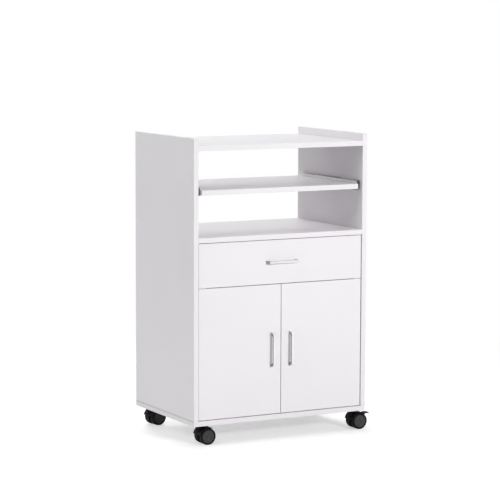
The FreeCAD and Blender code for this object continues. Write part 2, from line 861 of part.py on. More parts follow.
def handle(name, x, z, upright):
    """A bow handle on a front: two legs and a bar, its long axis upright or level."""
    body = new_body(name, x, "front_setback", z)
    turn = 0 if upright else 90
    body.Placement = FreeCAD.Placement(body.Placement.Base, FreeCAD.Rotation(Y_AXIS, turn))
    half = "handle_length / 2"
    gap = "(handle_reach - handle_bar)"
    foot = f"({half} - handle_leg)"
    corners = [
        ("0", half),
        ("-handle_reach", f"{half} - handle_slope"),
        ("-handle_reach", f"-({half} - handle_slope)"),
        ("0", f"-({half})"),
        ("0", f"-{foot}"),
        (f"-{gap}", f"-({foot} - handle_slope)"),
        (f"-{gap}", f"{foot} - handle_slope"),
        ("0", foot),
    ]
    sketch = new_sketch(body, name + "_outline", "YZ_Plane")
    outline(sketch, corners)
    bow = pad(body, name + "_bow", sketch, "handle_width", midplane=True)

    def bend(edge):
        across = along(X_AXIS)(edge)
        return across and edge.CenterOfMass.y < -value("handle_reach - handle_bar") / 2

    bends = round_edges(body, name + "_bends", bow, "handle_corner", bend)

    def rim(edge):
        middle = edge.CenterOfMass
        on_side = abs(abs(middle.x) - value("handle_width") / 2) < 0.01
        return on_side and middle.y < -0.1

    edges = round_edges(body, name + "_edges", bends, "handle_edge", rim)
    doc.recompute()
    holes = [("0", f"{side} * handle_screw_spacing / 2") for side in (-1, 1)]
    drill(body, name + "_threads", "XZ_Plane", "0", holes, "handle_screw", "handle_screw_bite", True)
    return edges


def handle_screws(name, x, z, upright):
    """Two machine screws through the front from behind, their heads against its back."""
    screws = []
    for side in (-1, 1):
        length = value("front_thickness + handle_screw_bite")
        base = FreeCAD.Vector(0, -value("handle_screw_bite"), 0)
        shank = Part.makeCylinder(value("handle_screw / 2"), length, base, Y_AXIS)
        top = FreeCAD.Vector(0, value("front_thickness"), 0)
        head = Part.makeCylinder(value("screw_head / 2"), value("screw_head_height"), top, Y_AXIS)
        outer = [e for e in head.Edges if e.Closed and e.CenterOfMass.y > top.y + 0.1]
        head = head.makeFillet(value("screw_head_height / 2"), outer)
        slot_cut = Part.makeBox(value("screw_head"), value("screw_head_height"), value("screw_slot"))
        corner = (-value("screw_head / 2"), value("screw_head_height / 2"), -value("screw_slot / 2"))
        slot_cut.translate(top + FreeCAD.Vector(*corner))
        screw = shank.fuse(head.cut(slot_cut)).removeSplitter()
        offset = f"{side} * handle_screw_spacing / 2"
        where = (x, "front_setback", f"{z} + {offset}") if upright else (f"{x} + {offset}", "front_setback", z)
        screw.translate(spot(*where))
        screws.append(screw)
    group(name, screws)


# ---------------------------------------------------------------- casters

def caster_plates():
    """The four steel plates with their kingpins, as fixed under the bottom board."""
    plates = []
    screws = []
    for x, y in CASTER_SPOTS.values():
        centre = spot(x, y, "caster_height")
        half = value("plate_size / 2")
        thick = value("plate_thickness")
        plate = Part.makeBox(2 * half, 2 * half, thick, FreeCAD.Vector(-half, -half, -thick))
        plate = plate.makeFillet(value("plate_corner"), [e for e in plate.Edges if along(Z_AXIS)(e)])
        drop = value("kingpin_length")
        pin = Part.makeCylinder(value("kingpin_diameter / 2"), drop, FreeCAD.Vector(0, 0, -thick - drop))
        plate = plate.fuse(pin)
        for dx in (-1, 1):
            for dy in (-1, 1):
                reach = value("plate_hole_spacing / 2")
                at = FreeCAD.Vector(dx * reach, dy * reach, 0)
                radius = value("caster_screw / 2")
                hole = Part.makeCylinder(radius, thick, at - FreeCAD.Vector(0, 0, thick))
                plate = plate.cut(hole)
                screws.append(caster_screw(centre + at - FreeCAD.Vector(0, 0, thick)))
        plate.translate(centre)
        plates.append(plate)
    group("caster_plates", plates)
    group("caster_screws", screws)


def caster_screw(where):
    """A wood screw that holds a plate up, its domed head below the plate."""
    height = value("caster_screw_length")
    shank = Part.makeCylinder(value("caster_screw / 2"), height)
    radius = value("caster_screw_head / 2")
    crown = value("caster_screw_head / 4")
    dome = Part.makeSphere(radius, FreeCAD.Vector(0, 0, crown))
    keep = Part.makeCylinder(radius, crown, FreeCAD.Vector(0, 0, -crown))
    head = dome.common(keep)
    screw = head.fuse(shank)
    screw.translate(where)
    return screw


ALONG_Y = FreeCAD.Rotation(X_AXIS, -90)


def swivelled(name, spot_name):
    """A body whose origin is a caster's kingpin at the bottom board, trailing toward its own +X."""
    x, y = CASTER_SPOTS[spot_name]
    body = new_body(name, x, y, "caster_height")
    turn = value("rear_left_turn") if spot_name == "rear_left" else 0
    body.Placement = FreeCAD.Placement(body.Placement.Base, FreeCAD.Rotation(Z_AXIS, turn))
    return body


def fork(spot_name):
    """The moulded body of a caster: a web between the wheels, a hood over them and the kingpin's boss."""
    name = "fork_" + spot_name
    body = swivelled(name, spot_name)
    top = "(plate_thickness + swivel_play)"
    across = {"Radius": "hood_outside", "Height": "twin_width"}
    drum_at = ("caster_trail", "-twin_width / 2", "-axle_drop")
    primitive(body, "AdditiveCylinder", name + "_drum", across, drum_at, ALONG_Y)
    boss = {"Radius": "boss_diameter / 2", "Height": "boss_height"}
    primitive(body, "AdditiveCylinder", name + "_boss", boss, ("0", "0", f"-({top} + boss_height)"))
    for end, start in (("near", "-twin_width / 2"), ("far", "fork_web / 2")):
        room = {"Radius": "hood_inside", "Height": "wheel_room"}
        at = ("caster_trail", start, "-axle_drop")
        primitive(body, "SubtractiveCylinder", f"{name}_{end}_wheel_room", room, at, ALONG_Y)
        slot(
            body,
            f"{name}_{end}_skirt",
            ("caster_trail - hood_outside", start, "-axle_drop - hood_outside"),
            ("2 * hood_outside", "wheel_room", "hood_outside + hood_skirt"),
        )
        slot(
            body,
            f"{name}_{end}_brow",
            ("caster_trail + hood_brow", start, "-axle_drop"),
            ("hood_outside", "wheel_room", "hood_outside"),
        )
    slot(
        body,
        name + "_foot",
        ("caster_trail - hood_outside", "-fork_web / 2", "-axle_drop - hood_outside"),
        ("2 * hood_outside", "fork_web", "hood_outside - fork_foot"),
    )
    slot(
        body,
        name + "_nose",
        ("caster_trail + fork_nose", "-fork_web / 2", "-axle_drop - hood_outside"),
        ("hood_outside", "fork_web", "2 * hood_outside"),
    )
    bore = {"Radius": "kingpin_diameter / 2 + kingpin_play", "Height": "kingpin_length"}
    at = ("0", "0", "-(plate_thickness + kingpin_length + swivel_play)")
    primitive(body, "SubtractiveCylinder", name + "_kingpin_bore", bore, at)
    hole = {"Radius": "axle_diameter / 2", "Height": "fork_web"}
    at = ("caster_trail", "-fork_web / 2", "-axle_drop")
    primitive(body, "SubtractiveCylinder", name + "_axle_hole", hole, at, ALONG_Y)
    if spot_name in BRAKED:
        slot(
            body,
            name + "_lever_slot",
            (
                "caster_trail + lever_pivot_out - lever_eye - lever_side_play",
                "-lever_arm / 2 - lever_side_play",
                "-axle_drop + lever_slot_floor",
            ),
            ("hood_outside", "lever_arm + 2 * lever_side_play", "hood_outside"),
        )
        hole = {"Radius": "lever_pin / 2 + lever_pin_play", "Height": "fork_web"}
        at = ("caster_trail + lever_pivot_out", "-fork_web / 2", "-axle_drop + lever_pivot_up")
        primitive(body, "SubtractiveCylinder", name + "_lever_holes", hole, at, ALONG_Y)


def wheel(name, spot_name, side):
    """One wheel, its dished disc outward. Side is +1 for the wheel further along the body's Y."""
    body = swivelled(name, spot_name)
    inner = "(fork_web / 2 + wheel_side_play)"
    outer = f"({inner} + wheel_width)"
    bore = "(axle_diameter / 2 + axle_play)"
    flat = "(wheel_radius - wheel_edge - wheel_rim)"
    profile = [
        (f"{outer} - axle_cover", "0"),
        (f"{outer} - wheel_dish", "0"),
        (f"{outer} - wheel_dish", flat),
        (outer, f"{flat} + wheel_dish"),
        (outer, "wheel_radius"),
        (inner, "wheel_radius"),
        (inner, bore),
        (f"{outer} - axle_cover", bore),
    ]
    sketch = new_sketch(body, name + "_section", "YZ_Plane", "caster_trail")
    bind(sketch, "AttachmentOffset.Base.y", "-axle_drop")
    outline(sketch, signed(profile, side))
    turned = body.newObject("PartDesign::Revolution", name + "_turned")
    turned.Profile = sketch
    turned.ReferenceAxis = (sketch, ["H_Axis"])
    turned.Angle = 360

    def tread_edge(edge):
        on_tread = edge.Curve.TypeId == "Part::GeomCircle"
        return on_tread and abs(edge.Curve.Radius - value("wheel_radius")) < 0.001

    round_edges(body, name + "_edges", turned, "wheel_edge / 2", tread_edge)


def signed(profile, side):
    """The profile as it is for the further wheel, or mirrored for the nearer one."""
    return [(u if side > 0 else f"-({u})", v) for u, v in profile]


def brake_lever(spot_name):
    """A pedal with a narrow arm, pivoting on its own pins in the fork's web."""
    name = "brake_lever_" + spot_name
    body = swivelled(name, spot_name)
    arm = [
        ("lever_pivot_out", "lever_pivot_up + lever_eye"),
        ("pedal_root - lever_neck", "pedal_under - lever_neck / 2"),
        ("(pedal_root + pedal_knee) / 2", "pedal_under + pedal_thickness / 2"),
        ("pedal_knee", "pedal_under - lever_neck / 2"),
        ("pedal_root", "pedal_under - pedal_slant - lever_neck / 4"),
        ("lever_pivot_out + lever_heel", "lever_pivot_up - lever_heel"),
    ]
    pedal = [
        ("pedal_root", "pedal_top - pedal_thickness + pedal_tip"),
        ("pedal_knee", "pedal_top"),
        ("lever_reach - pedal_tip", "pedal_top"),
        ("lever_reach", "pedal_top - pedal_tip"),
        ("lever_reach", "pedal_under + pedal_tip"),
        ("lever_reach - pedal_tip", "pedal_under"),
        ("pedal_knee + pedal_tip", "pedal_under"),
        ("pedal_root", "pedal_under - pedal_slant"),
    ]
    for end, corners, width in (("arm", arm, "lever_arm"), ("pedal", pedal, "lever_width")):
        sketch = new_sketch(body, f"{name}_{end}_outline", "XZ_Plane")
        bind(sketch, "AttachmentOffset.Base.x", "caster_trail")
        bind(sketch, "AttachmentOffset.Base.y", "-axle_drop")
        outline(sketch, corners)
        pad(body, f"{name}_{end}", sketch, width, midplane=True)
    at_pivot = ("caster_trail + lever_pivot_out", "-axle_drop + lever_pivot_up")
    eye = {"Radius": "lever_eye", "Height": "lever_arm"}
    at = (at_pivot[0], "-lever_arm / 2", at_pivot[1])
    primitive(body, "AdditiveCylinder", name + "_eye", eye, at, ALONG_Y)
    pins = {"Radius": "lever_pin / 2", "Height": "fork_web - 2 * lever_pin_inset"}
    at = (at_pivot[0], "lever_pin_inset - fork_web / 2", at_pivot[1])
    primitive(body, "AdditiveCylinder", name + "_pins", pins, at, ALONG_Y)


BRAKED = ("front_right", "rear_right")


def casters():
    caster_plates()
    for spot_name in CASTER_SPOTS:
        fork(spot_name)
        axle = swivelled("axle_" + spot_name, spot_name)
        length = "(twin_width - 2 * (axle_cover + axle_play))"
        rod = {"Radius": "axle_diameter / 2", "Height": length}
        at = ("caster_trail", f"-{length} / 2", "-axle_drop")
        primitive(axle, "AdditiveCylinder", f"axle_{spot_name}_rod", rod, at, ALONG_Y)
        wheel("near_wheel_" + spot_name, spot_name, -1)
        wheel("far_wheel_" + spot_name, spot_name, 1)
    for spot_name in BRAKED:
        brake_lever(spot_name)


# ---------------------------------------------------------------- doors

def door(name, x, side):
    """An inset door with its handle. Side is -1 for the left one, whose pivots are at its left."""
    body = board_body(name, (x, "front_setback", "doors_base"), ("door_width", "front_thickness", "door_height"), "front_round")
    across = "door_width - handle_from_edge" if side < 0 else "handle_from_edge"
    holes = [(across, f"door_height / 2 + {end} * handle_screw_spacing / 2") for end in (-1, 1)]
    drill(body, name + "_screw_holes", "XZ_Plane", "0", holes, "handle_screw", "front_thickness", False)
    level = "(doors_base + door_height / 2)"
    handle(name + "_handle", f"{x} + {across}", level, upright=True)
    handle_screws(name + "_handle_screws", f"{x} + {across}", level, upright=True)

    pivot = "pivot_from_edge" if side < 0 else "door_width - pivot_from_edge"
    bushings = new_body(name + "_bushings", f"{x} + {pivot}", "pivot_line", "doors_base")
    for end, offset, backwards in (("foot", "0", True), ("head", "door_height", False)):
        where = [(pivot, "front_thickness / 2")]
        drill(body, f"{name}_{end}_bore", "XY_Plane", offset, where, "bushing_diameter", "bushing_length", backwards)
        start = "0" if backwards else "door_height - bushing_length"
        sleeve = {"Radius": "bushing_diameter / 2", "Height": "bushing_length"}
        primitive(bushings, "AdditiveCylinder", f"{name}_{end}_sleeve", sleeve, ("0", "0", start))
        start = "0" if backwards else "door_height - bushing_length + bushing_end"
        bore = {"Radius": "pivot_pin / 2 + pivot_play", "Height": "bushing_length - bushing_end"}
        primitive(bushings, "SubtractiveCylinder", f"{name}_{end}_hole", bore, ("0", "0", start))

    free = f"{x} + door_width - strike_from_edge" if side < 0 else f"{x} + strike_from_edge"
    board_body(
        name + "_strike_plate",
        (
            f"{free} - strike_width / 2",
            "front_back",
            "divider_base - catch_height / 2 - strike_height / 2",
        ),
        ("strike_width", "strike_thickness", "strike_height"),
        "strike_thickness / 4",
    )
    return f"{x} + {pivot}"


def pivot_bracket(name, wall, pivot, side):
    """A bent plate on a side panel. Its leaf lies in the gap above the door and holds the upper pin."""
    body = new_body(name, wall, "0", "doors_base + door_height + pivot_clearance", handed_in=False)
    out = "1" if side < 0 else "-1"
    sketch = new_sketch(body, name + "_leaf_outline", "XY_Plane")
    back = "divider_front - bracket_play"
    corners = [
        ("0", "front_back + bracket_edge"),
        ("front_gap + bracket_edge", "front_setback + bracket_edge"),
        ("bracket_width", "front_setback + bracket_edge"),
        ("bracket_width", "front_back"),
        ("front_gap + 2 * bracket_edge", back),
        ("0", back),
    ]
    outline(sketch, [(f"{out} * ({u})", v) for u, v in corners])
    pad(body, name + "_leaf", sketch, "bracket_sheet")
    sketch = new_sketch(body, name + "_flange_outline", "YZ_Plane")
    near = "front_back + bracket_edge"
    far = f"{near} + bracket_depth"
    under = "divider_base - doors_base - door_height - pivot_clearance - bracket_play"
    corners = [
        (near, "bracket_sheet"),
        (near, "-bracket_drop"),
        (far, "-bracket_drop"),
        (far, under),
        (back, under),
        (back, "bracket_sheet"),
    ]
    outline(sketch, corners)
    pad(body, name + "_flange", sketch, "bracket_sheet", backwards=side > 0)
    pin = {"Radius": "pivot_pin / 2", "Height": "pivot_hold + pivot_clearance + bracket_sheet"}
    at = (f"{pivot} - ({wall})", "pivot_line", "-(pivot_hold + pivot_clearance)")
    primitive(body, "AdditiveCylinder", name + "_pin", pin, at)
    return body


def doors():
    left = door("door_left", "board + front_gap", -1)
    right = door("door_right", "board + 2 * front_gap + door_width", 1)
    brackets = [
        pivot_bracket("left_bracket", "board", left, -1),
        pivot_bracket("right_bracket", "inner_right", right, 1),
    ]
    both = doc.addObject("Part::Compound", "pivot_brackets")
    both.Label = "pivot_brackets"
    both.Links = brackets
    PARTS.append(both)

    pins = new_body("pivot_pins", "0", "pivot_line", "floor_top")
    for end, pivot in (("left", left), ("right", right)):
        rod = {"Radius": "pivot_pin / 2", "Height": "pivot_hold + front_gap + pivot_hold"}
        primitive(pins, "AdditiveCylinder", f"pivot_pins_{end}_rod", rod, (pivot, "0", "-pivot_hold"))
        collar = {"Radius": "pivot_collar / 2", "Height": "front_gap - pivot_clearance"}
        primitive(pins, "AdditiveCylinder", f"pivot_pins_{end}_collar", collar, (pivot, "0", "0"))

    board_body(
        "door_catch",
        (
            "body_width / 2 - catch_width / 2",
            "front_back + strike_thickness + catch_play",
            "divider_base - catch_height",
        ),
        ("catch_width", "catch_depth", "catch_height"),
        "edge_round",
    )


# ---------------------------------------------------------------- build, test and write

def check_and_write():
    """Stop at the first failed object or bad solid, then write one STEP file for each node."""
    doc.recompute()
    for obj in doc.Objects:
        if "Invalid" in obj.State or "Error" in obj.State:
            raise SystemExit(f"{obj.Name} failed: {obj.State}")
    os.makedirs("parts", exist_ok=True)
    for part in PARTS:
        shape = part.Shape
        if shape.isNull() or not shape.isValid() or not shape.Solids:
            raise SystemExit(f"{part.Label} has no sound solid")
        shape.exportStep(f"parts/{part.Label}.step")
        print(f"{part.Label}: {len(shape.Solids)} solid(s), {shape.Volume / 1000:.1f} cm3")


carcass()
knock_down_fittings()
pull_out_shelf()
drawer()
doors()
casters()
check_and_write()
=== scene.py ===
"""Microwave stand with drawer: the finish of every piece, its small hardware, and the studio it stands in.

Everything is in metres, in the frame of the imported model: X to the right, Y to the back, Z up from the floor.
"""

import json
import math

import bmesh
import bpy
from mathutils import Matrix, Vector


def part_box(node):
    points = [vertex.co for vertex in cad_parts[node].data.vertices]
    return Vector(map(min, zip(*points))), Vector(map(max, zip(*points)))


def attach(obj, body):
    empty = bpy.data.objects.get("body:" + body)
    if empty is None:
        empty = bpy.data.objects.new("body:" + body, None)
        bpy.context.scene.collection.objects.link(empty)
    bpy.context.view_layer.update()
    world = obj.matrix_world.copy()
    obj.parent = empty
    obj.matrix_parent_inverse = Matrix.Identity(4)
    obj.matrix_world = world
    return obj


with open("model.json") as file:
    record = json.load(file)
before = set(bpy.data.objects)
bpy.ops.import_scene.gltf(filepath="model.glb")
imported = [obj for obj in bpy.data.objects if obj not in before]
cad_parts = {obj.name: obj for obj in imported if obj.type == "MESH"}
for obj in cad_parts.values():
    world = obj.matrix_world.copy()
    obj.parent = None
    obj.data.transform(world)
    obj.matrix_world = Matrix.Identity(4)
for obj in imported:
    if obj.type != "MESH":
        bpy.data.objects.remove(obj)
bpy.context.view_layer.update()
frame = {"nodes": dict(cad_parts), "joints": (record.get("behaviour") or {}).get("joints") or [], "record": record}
NODES = frame["nodes"]
JOINTS = {joint["name"]: joint for joint in frame["joints"]}


# ---------------------------------------------------------------- nodes written as expressions

class Value:
    """A socket that can be added, multiplied and compared. Each operation adds a Math node."""

    def __init__(self, tree, socket):
        self.tree = tree
        self.socket = socket

    def math(self, operation, *others):
        """This value, and others, through one Math node."""
        return self.tree.add("ShaderNodeMath", {"operation": operation}, dict(enumerate((self, *others))))

    def __add__(self, other):
        return self.math("ADD", other)

    def __sub__(self, other):
        return self.math("SUBTRACT", other)

    def __mul__(self, other):
        return self.math("MULTIPLY", other)

    __radd__ = __add__
    __rmul__ = __mul__

    def __rsub__(self, other):
        return (self * -1) + other

    def __abs__(self):
        return self.math("ABSOLUTE")

    def above(self, limit):
        """1 where the value is over the limit, else 0."""
        return self.math("GREATER_THAN", limit)

    def between(self, low, high):
        """A soft step from 0 at low to 1 at high."""
        return self.tree.add(
            "ShaderNodeMapRange",
            {"interpolation_type": "SMOOTHSTEP"},
            {"Value": self, "From Min": low, "From Max": high},
        )


class Nodes:
    """A node tree that is filled in through one method."""

    def __init__(self, owner):
        owner.use_nodes = True
        self.nodes = owner.node_tree.nodes
        self.links = owner.node_tree.links
        self.nodes.clear()

    def add(self, kind, settings=None, inputs=None, output=None):
        """Add a node: its settings first, then its sockets' values and links."""
        node = self.nodes.new(kind)
        for name, setting in (settings or {}).items():
            setattr(node, name, setting)
        for name, given in (inputs or {}).items():
            self.feed(self.find(node.inputs, name), given)
        if not node.outputs:
            return node
        return Value(self, self.find(node.outputs, output) if output else node.outputs[0])

    @staticmethod
    def find(sockets, name):
        """A socket by its number, name or identifier."""
        if isinstance(name, int):
            return sockets[name]
        return next(socket for socket in sockets if name in (socket.identifier, socket.name))

    def feed(self, socket, given):
        """Link a value to a socket, or set a plain number or colour on it."""
        if isinstance(given, Value):
            self.links.new(given.socket, socket)
        elif isinstance(given, (tuple, list)) and len(given) == 3 and len(socket.default_value) == 4:
            socket.default_value = (*given, 1)
        else:
            socket.default_value = given

    def seen(self):
        """1 for what the camera sees, straight on, in a gloss or through glass."""
        rays = [
            self.add("ShaderNodeLightPath", output=name)
            for name in ("Is Camera Ray", "Is Glossy Ray", "Is Transmission Ray")
        ]
        return (rays[0] + rays[1] + rays[2]).math("MINIMUM", 1)


class Finish(Nodes):
    """A material under construction: one Principled shader and the nodes that feed it."""

    def __init__(self, name, **settings):
        self.material = bpy.data.materials.new(name)
        super().__init__(self.material)
        self.surface = self.add("ShaderNodeBsdfPrincipled")
        self.shader = self.surface.socket.node
        self.output = self.add("ShaderNodeOutputMaterial", inputs={"Surface": self.surface})
        for socket, setting in settings.items():
            self.shader.inputs[socket.replace("_", " ").title().replace("Ior", "IOR")].default_value = setting
        self.place = self.add("ShaderNodeTexCoord", output="Object")

    def vector(self, operation, *vectors, output=None):
        """Vectors through one Vector Math node."""
        return self.add("ShaderNodeVectorMath", {"operation": operation}, dict(enumerate(vectors)), output)

    def noise(self, scale, detail=2, roughness=0.5, stretch=None):
        """Noise over the piece, its scale in cycles per metre, drawn out along an axis where asked."""
        where = self.vector("MULTIPLY", self.place, stretch) if stretch else self.place
        sizes = {"Vector": where, "Scale": scale, "Detail": detail, "Roughness": roughness}
        return self.add("ShaderNodeTexNoise", inputs=sizes)

    def mix(self, share, first, second):
        """A colour between two, by a share from 0 to 1."""
        inputs = {"Factor_Float": share, "A_Color": first, "B_Color": second}
        return self.add("ShaderNodeMix", {"data_type": "RGBA"}, inputs, output="Result_Color")

    def edges(self, radius):
        """1 along the piece's edges, falling to 0 a radius away."""
        soft = self.add("ShaderNodeBevel", {"samples": 4}, {"Radius": radius})
        hard = self.add("ShaderNodeNewGeometry", output="Normal")
        alike = self.vector("DOT_PRODUCT", soft, hard, output="Value")
        return (1 - alike).between(0.01, 0.25)

    def facing(self, direction):
        """How far the surface faces a direction, from -1 to 1."""
        normal = self.add("ShaderNodeNewGeometry", output="Normal")
        return self.vector("DOT_PRODUCT", normal, direction, output="Value")

    def along(self, direction):
        """How far a point lies along a direction, in metres."""
        return self.vector("DOT_PRODUCT", self.place, direction, output="Value")

    def bump(self, height, strength, distance):
        """Relief from a height, on the shader's normal."""
        inputs = {"Height": height, "Strength": strength, "Distance": distance}
        self.feed(self.shader.inputs["Normal"], self.add("ShaderNodeBump", inputs=inputs))

    def set(self, **sockets):
        """Feed the shader's own sockets, named with underscores."""
        for name, given in sockets.items():
            self.feed(self.shader.inputs[name.replace("_", " ").title()], given)
        return self.material


# ---------------------------------------------------------------- finishes

WHITE_FOIL = (0.835, 0.815, 0.838)
FOIL_SHADE = (0.80, 0.782, 0.805)
BOTTOM_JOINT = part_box("bottom_board")[1][2]
# The handles' nickel: a bright copy for their fronts, and a darker copy that paints shade on their flanks.
BRIGHT_NICKEL = (0.91, 0.905, 0.91)
FLANK_SHADE_NICKEL = (0.3, 0.295, 0.3)


def white_foil(name, tone=WHITE_FOIL, shade=FOIL_SHADE):
    """Satin white foil: faint clouds, a fine printed tooth, and a grey joint line over the bottom board, which
    also paints the shade of the gap and inner corner there.
    """
    finish = Finish(name, ior=1.5)
    clouds = finish.noise(2.2, detail=3)
    tooth = finish.noise(1400, detail=1)
    rubbed = finish.noise(26, detail=4, roughness=0.6)
    hairline = finish.edges(0.0012)
    # A grey line on faces that look sideways, at the height of the bottom board's top: partly the joint's glue
    # line, partly painted shade of the gap and of the inner corner.
    off_joint = abs(finish.along((0, 0, 1)) - BOTTOM_JOINT)
    joint = (1 - off_joint.between(0.0008, 0.0034)) * abs(finish.facing((1, 0, 0))).between(0.8, 0.99)
    colour = finish.mix(clouds.between(0.35, 0.75), tone, shade)
    colour = finish.mix(hairline * 0.35, colour, (0.62, 0.6, 0.61))
    colour = finish.mix(joint * 0.65, colour, (0.44, 0.425, 0.43))
    finish.bump(tooth + rubbed * 0.5, 0.12, 0.00008)
    return finish.set(base_color=colour, roughness=0.36 + rubbed * 0.12)


def hardboard():
    """Hardboard lacquered white on its inner face, bare and woven brown on its back."""
    finish = Finish("lacquered_hardboard", ior=1.45)
    fibre = finish.noise(90, detail=6, roughness=0.7, stretch=(1, 1, 2.5))
    weave = finish.noise(900, detail=2)
    bare = finish.mix(fibre.between(0.3, 0.7), (0.24, 0.14, 0.07), (0.36, 0.23, 0.13))
    is_back = finish.facing((0, 1, 0)).above(0.5)
    is_under = finish.facing((0, 0, -1)).above(0.5)
    is_bare = is_back + is_under
    colour = finish.mix(is_bare, WHITE_FOIL, bare)
    finish.bump(weave + fibre, 0.35, 0.0002)
    return finish.set(base_color=colour, roughness=0.42 + is_bare * 0.35)


def plated(name, bright=(0.60, 0.60, 0.61), dull=(0.40, 0.41, 0.43), roughness=0.3, metallic=0.9):
    """Zinc-plated steel: cloudy plating, drawn lines along its length, and brighter edges."""
    finish = Finish(name, metallic=metallic, ior=1.5)
    cloud = finish.noise(45, detail=4, roughness=0.6)
    drawn = finish.noise(1600, detail=2, stretch=(1, 0.05, 1))
    worn = finish.edges(0.0006)
    colour = finish.mix(cloud.between(0.3, 0.7), bright, dull)
    colour = finish.mix(worn * 0.6, colour, (0.75, 0.75, 0.76))
    finish.bump(drawn, 0.15, 0.00005)
    return finish.set(base_color=colour, roughness=roughness + cloud * 0.15 + drawn * 0.05)


def moulded(name, base, worn, roughness=0.45, grain=1100, specular=0.5):
    """Moulded plastic with a fine eroded grain, a little greyer on its edges."""
    finish = Finish(name, ior=1.48, specular_ior_level=specular)
    pits = finish.noise(grain, detail=2)
    flow = finish.noise(18, detail=3, roughness=0.55)
    edge = finish.edges(0.0008)
    colour = finish.mix(flow.between(0.35, 0.7), base, [0.82 * channel for channel in base])
    colour = finish.mix(edge * 0.5, colour, worn)
    finish.bump(pits, 0.3, 0.00012)
    return finish.set(base_color=colour, roughness=roughness + flow * 0.12)


# The radii between which a wheel's disc turns into its tyre, and the rate of the disc's turned rings, in
# radians per metre, which puts one every 0.9 mm.
TYRE_EDGE = (0.0191, 0.0195)
RING_RATE = 7000


def caster_wheel(name, axle, axis):
    """A twin wheel: a black tyre, and a dull grey disc with fine turned rings."""
    finish = Finish(name, ior=1.48, specular_ior_level=0.12)
    across = finish.vector("CROSS_PRODUCT", finish.vector("SUBTRACT", finish.place, axle), axis)
    radius = finish.vector("LENGTH", across, output="Value")
    tyre = radius.between(*TYRE_EDGE)
    ring = (radius * RING_RATE).math("SINE")
    scuff = finish.noise(120, detail=5, roughness=0.7)
    dust = finish.noise(30, detail=4)
    disc = finish.mix(scuff.between(0.35, 0.7), (0.05, 0.046, 0.051), (0.07, 0.065, 0.071))
    rubber = finish.mix(dust.between(0.4, 0.75), (0.004, 0.004, 0.004), (0.010, 0.0095, 0.009))
    finish.bump(ring * (1 - tyre) * 0.3 + scuff, 0.25, 0.00015)
    return finish.set(base_color=finish.mix(tyre, disc, rubber), roughness=0.46 + tyre * 0.2 + scuff * 0.1)


def beech():
    """Unfinished beech dowels: straight grain with short dark flecks."""
    finish = Finish("beech_dowel", ior=1.45)
    grain = finish.noise(260, detail=5, roughness=0.6, stretch=(0.08, 1, 1))
    fleck = finish.noise(1200, detail=2, stretch=(0.15, 1, 1)).between(0.62, 0.72)
    colour = finish.mix(grain, (0.45, 0.29, 0.15), (0.66, 0.48, 0.30))
    colour = finish.mix(fleck * 0.6, colour, (0.25, 0.14, 0.07))
    finish.bump(grain, 0.3, 0.0002)
    return finish.set(base_color=colour, roughness=0.6 + grain * 0.15)


def flank_shaded_handle(name, stretch, flanks):
    """Nickel on a cast bow, brushed lengthways, with painted shade: its flanks take a darker copy of the nickel
    than its front.
    """
    finish = Finish(name, metallic=1.0, ior=1.5)
    cloud = finish.noise(30, detail=3).between(0.35, 0.7)
    brushed = finish.noise(1500, detail=2, stretch=stretch)
    sideways = [abs(finish.facing(flank)) for flank in flanks]
    # Painted shade: where the surface faces sideways, the colour turns to the darker nickel and the roughness
    # rises a little.
    painted_flank_shade = sum(sideways[1:], sideways[0]).math("MINIMUM", 1).between(0.3, 0.85)
    colour = finish.mix(painted_flank_shade, BRIGHT_NICKEL, FLANK_SHADE_NICKEL)
    colour = finish.mix(cloud * 0.3, colour, (0.5, 0.495, 0.5))
    finish.bump(brushed, 0.12, 0.00005)
    return finish.set(base_color=colour, roughness=0.28 + painted_flank_shade * 0.08 + cloud * 0.05 + brushed * 0.05)


BOARDS = white_foil("white_foil_board")
FRONTS = white_foil("white_foil_front", (0.845, 0.823, 0.847), (0.82, 0.80, 0.822))
HARDBOARD = hardboard()
UPRIGHT_HANDLE = flank_shaded_handle("nickel_upright", (1, 1, 0.05), [(1, 0, 0)])
LEVEL_HANDLE = flank_shaded_handle("nickel_level", (0.05, 1, 1), [(1, 0, 0), (0, 0, 1)])
PLATED = plated("zinc_plate")
SCREW = plated("bright_screw", roughness=0.22)
RAIL = plated("rail_zinc", (0.72, 0.705, 0.715), (0.65, 0.635, 0.645), roughness=0.36, metallic=0.75)
CAGE = plated("cage_steel", (0.5, 0.5, 0.5), (0.36, 0.36, 0.37), roughness=0.26)
RUNNER = plated("runner_zinc", (0.72, 0.705, 0.715), (0.65, 0.635, 0.645), roughness=0.34, metallic=0.75)
CASTER = moulded("caster_black", (0.005, 0.005, 0.0055), (0.02, 0.02, 0.021), roughness=0.48, specular=0.1)
LEVER = moulded("lever_black", (0.005, 0.005, 0.0055), (0.02, 0.02, 0.021), roughness=0.42, specular=0.12)
NYLON = moulded("white_nylon", (0.72, 0.71, 0.69), (0.8, 0.79, 0.78), roughness=0.42)
CATCH = moulded("catch_plastic", (0.78, 0.77, 0.77), (0.84, 0.83, 0.83), roughness=0.4)
COATED = moulded("white_powder_coat", (0.78, 0.765, 0.78), (0.82, 0.81, 0.82), roughness=0.38, grain=700)
BEECH = beech()

BY_SLOT = {
    "white_board": BOARDS,
    "white_front": FRONTS,
    "white_hardboard": HARDBOARD,
    "slide_steel": RAIL,
    "cage_steel": CAGE,
    "caster_body": CASTER,
    "brake_lever": LEVER,
    "zinc_steel": PLATED,
    "bright_steel": SCREW,
    "plain_wood": BEECH,
    "nylon": NYLON,
    "white_plastic": CATCH,
    "white_steel": COATED,
}


def finish_of_wheels():
    """One finish for each caster, whose rings are centred on its axle."""
    finishes = {}
    for name, joint in JOINTS.items():
        if name.startswith("roll_near_wheel_"):
            spot = name.removeprefix("roll_near_wheel_")
            finishes[spot] = caster_wheel("caster_wheel_" + spot, joint["pos_m"], joint["axis"])
    return finishes


